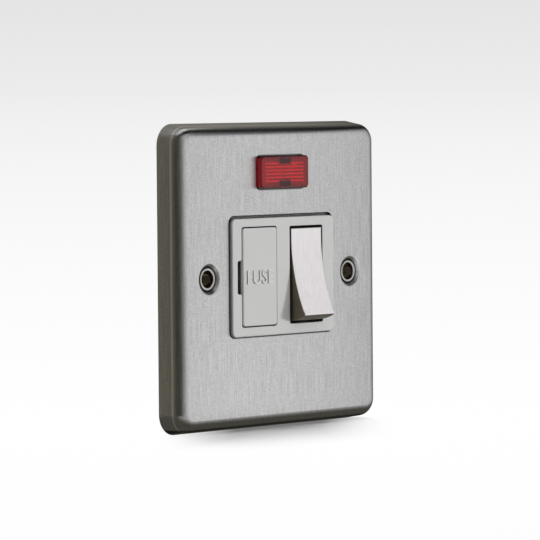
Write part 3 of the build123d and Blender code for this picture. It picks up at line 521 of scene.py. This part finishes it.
# Sleeve behind each fixing eyelet, which carries its bore on towards the wall
sleeve = {
    "length": 1.6, "bore": 4.6, "wall": 0.45, "sides": 64,
    "edge": 0.12, "edgeSteps": 2, "smoothAngle": 40.0,
    "endFacing": 0.9,  # a face that looks this far along Y belongs to one of the two ends
}


def fixingSleeve(side):
    p = sleeve
    low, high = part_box("eyelet_" + side)
    bpy.ops.object.select_all(action="DESELECT")
    bpy.ops.mesh.primitive_cylinder_add(
        vertices=p["sides"], radius=(p["bore"] / 2 + p["wall"]) * mm, depth=p["length"] * mm,
        location=((low.x + high.x) / 2, high.y + p["length"] / 2 * mm, (low.z + high.z) / 2),
        rotation=(math.pi / 2, 0, 0))
    piece = bpy.context.object
    piece.name = "sleeve_" + side
    bpy.ops.object.transform_apply(location=True, rotation=True, scale=True)
    bpy.ops.object.mode_set(mode="EDIT")
    bpy.ops.mesh.select_mode(type="FACE")
    bpy.ops.mesh.select_all(action="DESELECT")
    bpy.ops.object.mode_set(mode="OBJECT")
    # The two flat ends are inset to the bore and bridged through it
    for face in piece.data.polygons:
        face.select = abs(face.normal.y) > p["endFacing"]
    bpy.ops.object.mode_set(mode="EDIT")
    bpy.ops.mesh.inset(thickness=p["wall"] * mm, depth=0)
    bpy.ops.mesh.bridge_edge_loops()
    bpy.ops.object.mode_set(mode="OBJECT")
    rounding = piece.modifiers.new("rounding", "BEVEL")
    rounding.width = p["edge"] * mm
    rounding.segments = p["edgeSteps"]
    rounding.limit_method = "ANGLE"
    bpy.ops.object.modifier_apply(modifier=rounding.name)
    bpy.ops.object.shade_smooth_by_angle(angle=math.radians(p["smoothAngle"]))
    piece.data.materials.append(bpy.data.materials["brightNickel"])
    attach(piece, "unit")


for side in ("left", "right"):
    fixingSleeve(side)
print("sleeves made")


# Plunger springs: each one is copied, its doubled points merged, to ride with the rocker in place of the
# original
coil = {"travel": 0.8, "mergeReach": 0.0005}


def shortSpring(pole):
    p = coil
    node = nodes["spring_" + pole]
    bpy.ops.object.select_all(action="DESELECT")
    node.select_set(True)
    bpy.context.view_layer.objects.active = node
    bpy.ops.object.duplicate()
    piece = bpy.context.object
    piece.name = "coil_" + pole
    bpy.ops.object.mode_set(mode="EDIT")
    bpy.ops.mesh.select_all(action="SELECT")
    bpy.ops.mesh.remove_doubles(threshold=p["mergeReach"] * mm)
    bpy.ops.object.mode_set(mode="OBJECT")
    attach(piece, "rocker")
    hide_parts("spring_" + pole)
    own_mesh(piece)


for pole in ("live", "neutral"):
    shortSpring(pole)
print("springs made")


# Studio light, as shares of full light on a surface that faces it. A little comes from all round, and
# soft lamps give the rest: a low key from the right, a wide one in front, a fill behind, and one above
# for the paper alone, so that the key throws no long shadow across it. Directions point from object to
# lamp, and spreads are in degrees.
evenShare = 0.1
suns = {
    "keySun": {"towards": (0.70, -0.71, 0.06), "share": 0.73, "spread": 11.0,
               "paper": False, "throughLens": False},
    "frontSun": {"towards": (0.0, -0.9, 0.44), "share": 0.47, "spread": 70.0,
                 "paper": False, "throughLens": True},
    "fillSun": {"towards": (0.1, 0.72, 0.69), "share": 0.8, "spread": 70.0,
                "paper": False, "throughLens": False},
    "paperSun": {"towards": (0.29, 0.21, 0.934), "share": 0.95, "spread": 36.0,
                 "paper": True, "throughLens": False},
}


def softSun(name, p, paper):
    aim = -Vector(p["towards"])
    bpy.ops.object.light_add(type="SUN", rotation=aim.to_track_quat("-Z", "Y").to_euler())
    lamp = bpy.context.object
    lamp.name = name
    lamp.data.energy = math.pi * p["share"]
    lamp.data.angle = math.radians(p["spread"])
    lamp.visible_glossy = False
    lamp.visible_transmission = p["throughLens"]
    lit = bpy.data.collections.new(name)
    lit.objects.link(paper)
    lamp.light_linking.receiver_collection = lit
    lit.collection_objects[0].light_linking.link_state = "INCLUDE" if p["paper"] else "EXCLUDE"


def seenDirectly(tree):
    # 1 for what the camera, polished metal and clear plastic see, 0 for scattered light
    path = addNode(tree, "ShaderNodeLightPath").outputs
    shiny = addNode(tree, "ShaderNodeMath", {"operation": "MAXIMUM"}, {
        0: path["Is Glossy Ray"], 1: path["Is Transmission Ray"]})
    seen = addNode(tree, "ShaderNodeMath", {"operation": "MAXIMUM"}, {
        0: path["Is Camera Ray"], 1: shiny.outputs["Value"]})
    return seen.outputs["Value"]


# Pale backdrop, greyer upwards, while the light that it scatters is an even white
sky = {"horizon": "ECECEC", "above": "E5E5E5", "rise": 0.02, "scattered": "FFFFFF"}


def paleWorld():
    p = sky
    world = bpy.data.worlds.new("studio")
    world.use_nodes = True
    tree = world.node_tree
    place = addNode(tree, "ShaderNodeTexCoord").outputs["Generated"]
    axes = addNode(tree, "ShaderNodeSeparateXYZ", inputs={"Vector": place})
    climb = addNode(tree, "ShaderNodeMapRange", inputs={
        "Value": axes.outputs["Z"], "From Min": 0.0, "From Max": p["rise"]})
    tone = addNode(tree, "ShaderNodeMix", {"data_type": "RGBA"}, {
        "Factor": climb.outputs["Result"], colourA: linear(p["horizon"]), colourB: linear(p["above"])})
    seen = addNode(tree, "ShaderNodeBackground", inputs={"Color": tone.outputs[colourOut]})
    scattered = addNode(tree, "ShaderNodeBackground", inputs={
        "Color": linear(p["scattered"]), "Strength": evenShare})
    both = addNode(tree, "ShaderNodeMixShader", inputs={
        "Fac": seenDirectly(tree), 1: scattered.outputs["Background"], 2: seen.outputs["Background"]})
    tree.links.new(both.outputs["Shader"], tree.nodes["World Output"].inputs["Surface"])
    scene.world = world


# Floor: white paper under the object, greying off to the backdrop far behind. It keeps the object's
# shadow as a short pool under the middle of the lower edge, which thins out to its ends. Sizes are in
# metres.
floor = {
    "near": "FFFFFF", "far": "ECECEC", "fade": 3.2, "reach": 60.0, "bounce": 0.2,
    "shadowReach": (0.05, 0.1), "lift": 0.18,
    "across": (0.66, -0.75, 0.0), "middle": 0.005, "shadowHalf": (0.004, 0.034),
}


def paleFloor():
    p = floor
    bpy.ops.object.select_all(action="DESELECT")
    bpy.ops.mesh.primitive_plane_add(size=2 * p["reach"], location=(0, 0, cadBox[0].z))
    piece = bpy.context.object
    piece.name = "floor"
    bpy.ops.object.transform_apply(location=True)
    material, tree, shader, place = startMaterial("palePaper", {
        "Roughness": 1.0, "Specular IOR Level": 0.0})
    length = addNode(tree, "ShaderNodeVectorMath", {"operation": "LENGTH"}, {0: place}).outputs["Value"]
    beyond = addNode(tree, "ShaderNodeMath", {"operation": "ADD"}, {0: length, 1: p["fade"]})
    share = addNode(tree, "ShaderNodeMath", {"operation": "DIVIDE"}, {
        0: length, 1: beyond.outputs["Value"]})
    tone = addNode(tree, "ShaderNodeMix", {"data_type": "RGBA"}, {
        "Factor": share.outputs["Value"], colourA: linear(p["near"]), colourB: linear(p["far"])})
    glow = addNode(tree, "ShaderNodeEmission", inputs={"Color": tone.outputs[colourOut]})
    # The paper's own colour allows for the light that falls on it, so that it shows white
    seen = seenDirectly(tree)
    floorLight = evenShare + sum(sun["share"] * sun["towards"][2] for sun in suns.values() if sun["paper"])
    paper = addNode(tree, "ShaderNodeMapRange", inputs={
        "Value": seen, "To Min": p["bounce"] / floorLight, "To Max": 1 / floorLight})
    tree.links.new(paper.outputs["Result"], shader.inputs["Base Color"])
    # The shadow fades away from the object, and to both sides of the picture
    start, whole = p["shadowReach"]
    away = addNode(tree, "ShaderNodeMapRange", {"interpolation_type": "SMOOTHSTEP"}, {
        "Value": length, "From Min": start, "From Max": whole, "To Min": p["lift"]})
    along = addNode(tree, "ShaderNodeVectorMath", {"operation": "DOT_PRODUCT"}, {0: place, 1: p["across"]})
    off = addNode(tree, "ShaderNodeMath", {"operation": "SUBTRACT"}, {
        0: along.outputs["Value"], 1: p["middle"]})
    far = addNode(tree, "ShaderNodeMath", {"operation": "ABSOLUTE"}, {0: off.outputs["Value"]})
    inner, outer = p["shadowHalf"]
    aside = addNode(tree, "ShaderNodeMapRange", {"interpolation_type": "SMOOTHSTEP"}, {
        "Value": far.outputs["Value"], "From Min": inner, "From Max": outer})
    clear = addNode(tree, "ShaderNodeMath", {"operation": "MAXIMUM"}, {
        0: away.outputs["Result"], 1: aside.outputs["Result"]})
    clearSeen = addNode(tree, "ShaderNodeMath", {"operation": "MULTIPLY"}, {
        0: clear.outputs["Value"], 1: seen})
    both = addNode(tree, "ShaderNodeMixShader", inputs={
        "Fac": clearSeen.outputs["Value"], 1: shader.outputs["BSDF"], 2: glow.outputs["Emission"]})
    tree.links.new(both.outputs["Shader"], tree.nodes["Material Output"].inputs["Surface"])
    piece.data.materials.append(material)
    return piece


# Cards close round the object, just out of the picture, as a photographer sets them for bright metal: only
# reflections show them. Each is flat, in millimetres, with a tone at each end of its run along one axis.
# The low ones lie just over the paper, and the corner one just under the top ones.
cards = {
    "leftBackCard": {"low": (-62, 0, -43), "high": (-62, 110, 62),
                     "run": "Y", "tones": ("7A7669", "7A7669")},
    "leftCard": {"low": (-62, -26, -43), "high": (-62, 0, 62),
                 "run": "Y", "tones": ("3A3934", "3A3934")},
    "leftLip": {"low": (-62, -26, -43), "high": (-52, -26, 62),
                "run": "X", "tones": ("3A3934", "464540")},
    "leftEdge": {"low": (-52, -26, -43), "high": (-27, -26, 62),
                 "run": "X", "tones": ("464540", "FFFFFF")},
    "topFrontCard": {"low": (-62, -100, 62), "high": (170, -18, 62),
                     "run": "Y", "tones": ("F0F0F0", "121212")},
    "topCard": {"low": (-62, -18, 62), "high": (170, -9, 62),
                "run": "Y", "tones": ("121212", "121212")},
    "topMidCard": {"low": (-62, -9, 62), "high": (170, 3, 62),
                   "run": "Y", "tones": ("121212", "7E7B74")},
    "topBackCard": {"low": (-62, 3, 62), "high": (170, 130, 62),
                    "run": "Y", "tones": ("86837C", "A8A59C")},
    "cornerCard": {"low": (-52, -10, 61.9), "high": (-20, -1, 61.9),
                   "run": "X", "tones": ("FFFFFF", "FFFFFF")},
    "rightCard": {"low": (62, -13, -43), "high": (62, 110, 62),
                  "run": "Y", "tones": ("35342F", "55534B")},
    "rightFrontCard": {"low": (62, -70, -43), "high": (62, -24, 62),
                       "run": "Y", "tones": ("F4F4F4", "E4E4E4")},
    "rightLip": {"low": (62, -24, -43), "high": (62, -13, 62),
                 "run": "Y", "tones": ("E4E4E4", "58574F")},
    "lowFrontCard": {"low": (-62, -36, -42.97), "high": (200, -11, -42.97),
                     "run": "Y", "tones": ("F8F8F8", "54524A")},
    "lowCard": {"low": (-62, -11, -42.97), "high": (200, 40, -42.97),
                "run": "Y", "tones": ("54524A", "5C5A52")},
}


def reflectedCard(name, p):
    low = Vector(p["low"]) * mm
    high = Vector(p["high"]) * mm
    bpy.ops.object.select_all(action="DESELECT")
    bpy.ops.mesh.primitive_cube_add(size=1.0, location=(low + high) / 2)
    piece = bpy.context.object
    piece.name = name
    piece.scale = high - low
    bpy.ops.object.transform_apply(location=True, rotation=True, scale=True)
    material, tree, shader, place = startMaterial(name, {})
    axes = addNode(tree, "ShaderNodeSeparateXYZ", inputs={"Vector": place})
    start, end = (corner["XYZ".index(p["run"])] for corner in (low, high))
    along = addNode(tree, "ShaderNodeMapRange", inputs={
        "Value": axes.outputs[p["run"]], "From Min": start, "From Max": end})
    tone = addNode(tree, "ShaderNodeMix", {"data_type": "RGBA"}, {
        "Factor": along.outputs["Result"], colourA: linear(p["tones"][0]), colourB: linear(p["tones"][1])})
    glow = addNode(tree, "ShaderNodeEmission", inputs={"Color": tone.outputs[colourOut]})
    tree.links.new(glow.outputs["Emission"], tree.nodes["Material Output"].inputs["Surface"])
    piece.data.materials.append(material)
    piece.visible_camera = False
    piece.visible_diffuse = False
    piece.visible_shadow = False
    piece.visible_transmission = False


# Camera as the photograph was taken: low, from the left, with a long lens. Places are in metres, and
# turns in degrees.
view = {"eye": (-0.8740, -0.7662, 0.0526), "turn": 48.89, "down": 2.53, "roll": -0.457,
        "focalPixels": 4115.1, "imagePixels": 540, "sensor": 36.0, "sees": (0.01, 200.0)}


def photoCamera():
    p = view
    turn, down, roll = (math.radians(p[k]) for k in ("turn", "down", "roll"))
    ahead = Vector((math.sin(turn) * math.cos(down), math.cos(turn) * math.cos(down), -math.sin(down)))
    level = Vector((math.cos(turn), -math.sin(turn), 0))
    raised = level.cross(ahead)
    right = math.cos(roll) * level + math.sin(roll) * raised
    up = math.cos(roll) * raised - math.sin(roll) * level
    bpy.ops.object.camera_add(location=p["eye"])
    camera = bpy.context.object
    camera.matrix_world = Matrix.Translation(p["eye"]) @ Matrix((right, up, -ahead)).transposed().to_4x4()
    camera.data.sensor_width = p["sensor"]
    camera.data.lens = p["focalPixels"] / p["imagePixels"] * p["sensor"]
    camera.data.clip_start, camera.data.clip_end = p["sees"]
    scene.camera = camera


paleWorld()
paper = paleFloor()
for name, p in suns.items():
    softSun(name, p, paper)
for name, p in cards.items():
    reflectedCard(name, p)
photoCamera()
scene.view_settings.view_transform = "Standard"
print("stage, light and camera set")
